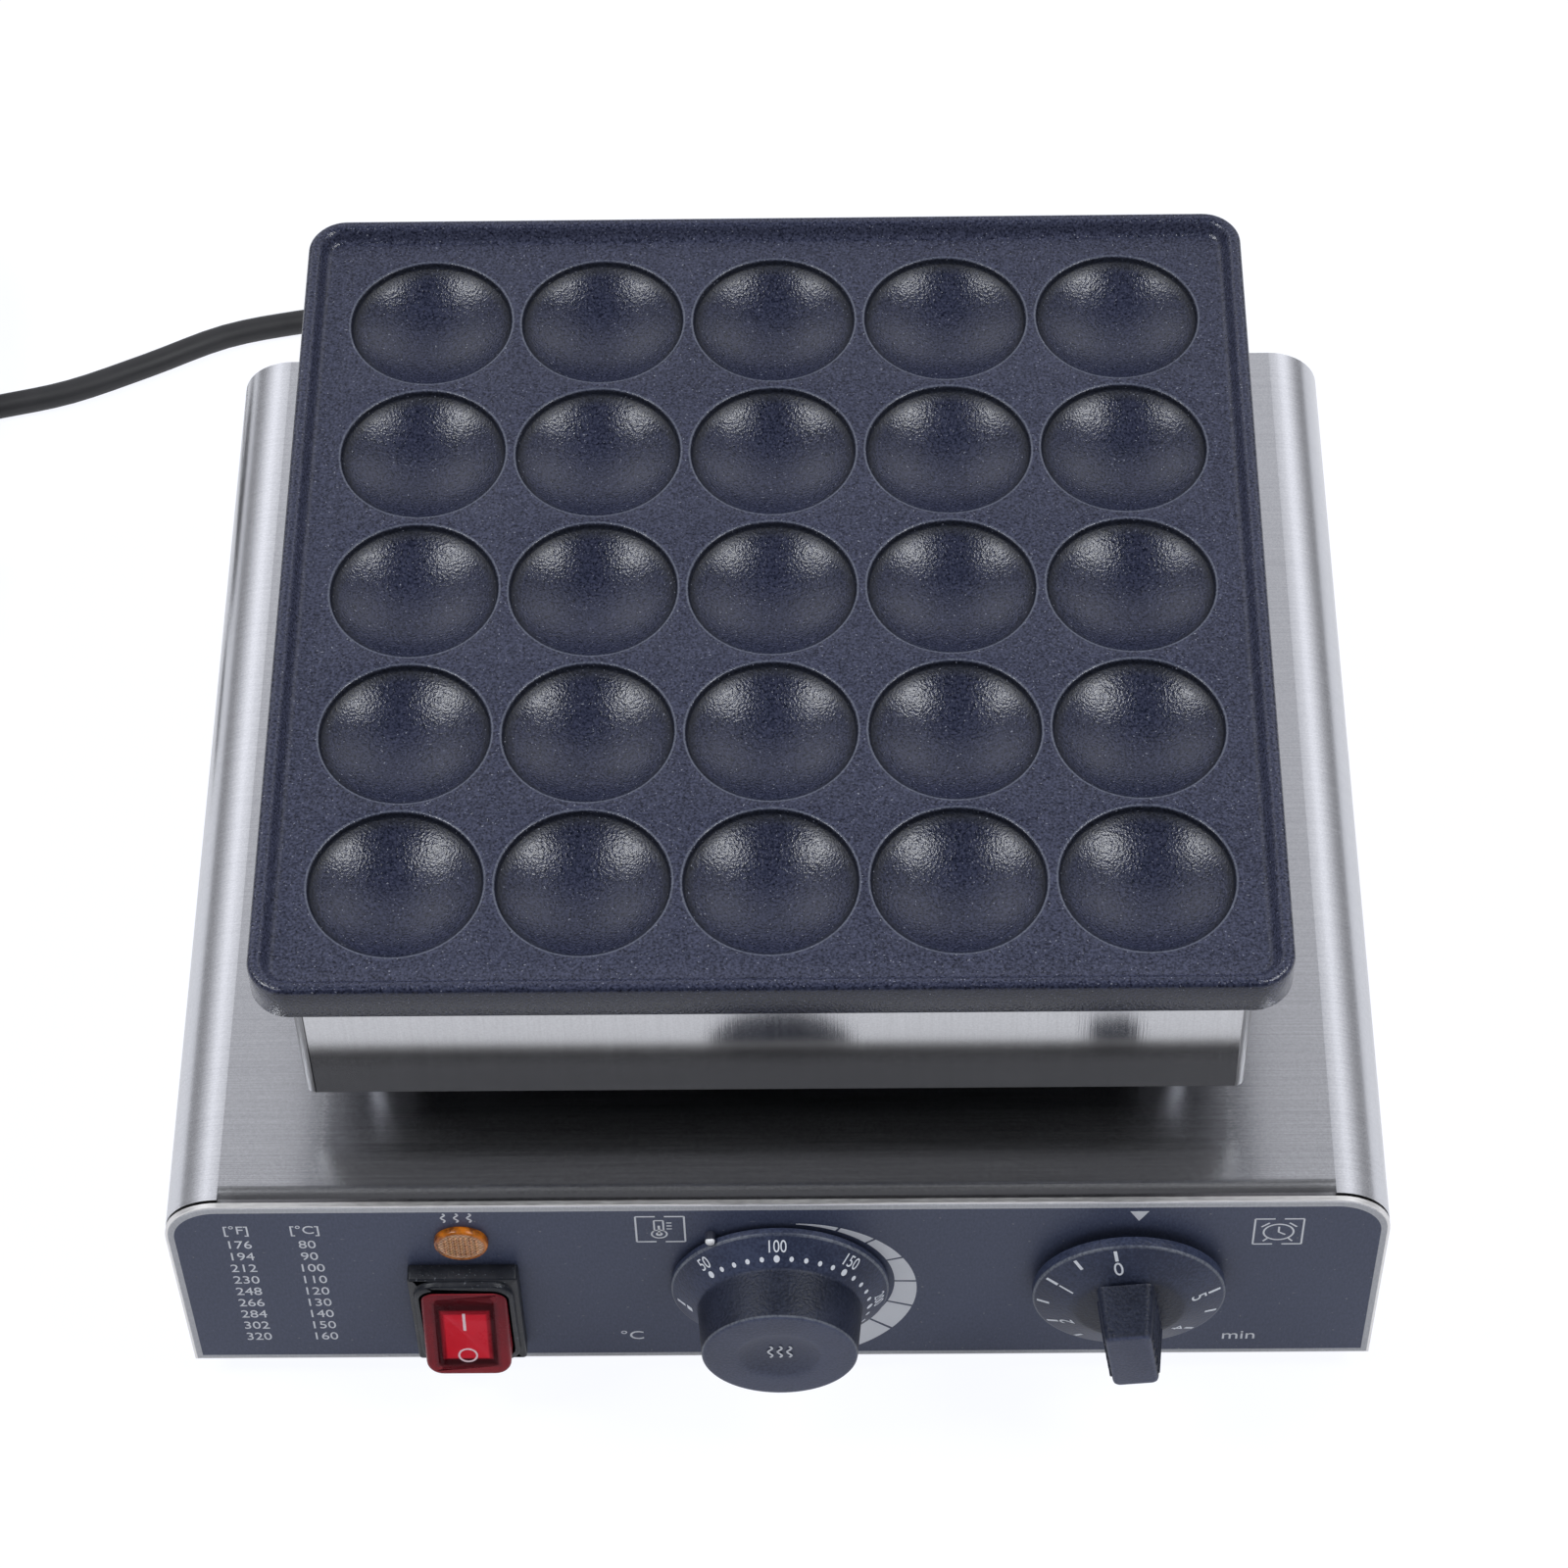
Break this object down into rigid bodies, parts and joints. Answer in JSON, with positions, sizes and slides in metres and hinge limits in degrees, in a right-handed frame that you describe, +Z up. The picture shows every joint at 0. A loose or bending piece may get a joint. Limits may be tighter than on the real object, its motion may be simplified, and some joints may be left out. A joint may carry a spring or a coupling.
{
  "type": "mini pancake maker",
  "caption": "Countertop mini pancake maker: a cast plate with a grid of round cups stands on a steel skirt and posts over a low casing with temperature and timer dials.",
  "frame": {"origin": "on the floor under the middle of the maker's box, without its cord", "axes": "+X to the right seen from the front, +Y to the rear, +Z up; the control panel faces -Y"},
  "size_m": [0.5078, 0.4497, 0.1641],
  "materials": {
    "steel": "brushed along the width",
    "zinc": "zinc plated",
    "bright_sheet": "bright rolled",
    "plate": "dark speckled non-stick coating on cast aluminium",
    "overlay": "printed film",
    "board": "pressed mineral board",
    "element": "oxidised tube",
    "white_plastic": "moulded",
    "copper": "plain",
    "knob": "fine grain",
    "switch": "moulded",
    "rocker": "translucent red",
    "lens": "faceted amber",
    "wire": "silicone sleeve",
    "cord": "matte",
    "tie": "woven strap",
    "foot": "matte"
  },
  "bodies": {
    "unit": {"casing": "steel", "front_panel": "steel", "rear_panel": "steel", "base_plate": "steel", "post_1": "steel", "post_2": "steel", "post_3": "steel", "post_4": "steel", "conduit": "steel", "skirt": "steel", "tray": "steel", "panel_nuts": "zinc", "rear_screws": "zinc", "base_screws": "zinc", "foot_screws": "zinc", "foot_nuts": "zinc", "post_bolts": "zinc", "post_nuts": "zinc", "element_clamps": "zinc", "clamp_bolts": "zinc", "thermostat_screws": "zinc", "timer_screws": "zinc", "timer_bell": "zinc", "lamp_clip": "zinc", "panel_overlay": "overlay", "baking_plate": "plate", "reflector": "bright_sheet", "insulation_board": "board", "heating_element": "element", "thermal_cutout": "white_plastic", "thermostat_bulb": "copper", "thermostat_body": "white_plastic", "timer_body": "zinc", "terminal_block": "white_plastic", "lamp_body": "white_plastic", "switch_housing": "switch", "lamp_lens": "lens", "switch_terminals": "copper", "wiring": "wire", "cord_gland": "knob", "gland_nut": "knob", "power_cord": "cord", "cord_coil": "cord", "cord_tail": "cord", "cord_tie": "tie", "plug_body": "cord", "plug_blades": "copper", "foot_1": "foot", "foot_2": "foot", "foot_3": "foot", "foot_4": "foot"},
    "thermostat_dial": {"thermostat_knob": "knob", "thermostat_shaft": "zinc"},
    "timer_dial": {"timer_knob": "knob", "timer_shaft": "zinc"},
    "rocker": {"rocker": "rocker"}
  },
  "joints": [
    {"name": "thermostat_turn", "type": "hinge", "parent": "unit", "child": "thermostat_dial", "pos_m": [0.0005, -0.13465, 0.049], "axis": [0, 1, 0], "range_deg": [-227, 55]},
    {"name": "timer_turn", "type": "hinge", "parent": "unit", "child": "timer_dial", "pos_m": [0.0928, -0.13465, 0.049], "axis": [0, 1, 0], "range_deg": [0, 272]},
    {"name": "rocker_tilt", "type": "hinge", "parent": "unit", "child": "rocker", "pos_m": [-0.0832, -0.13685, 0.037], "axis": [1, 0, 0], "range_deg": [0, 28]}
  ]
}
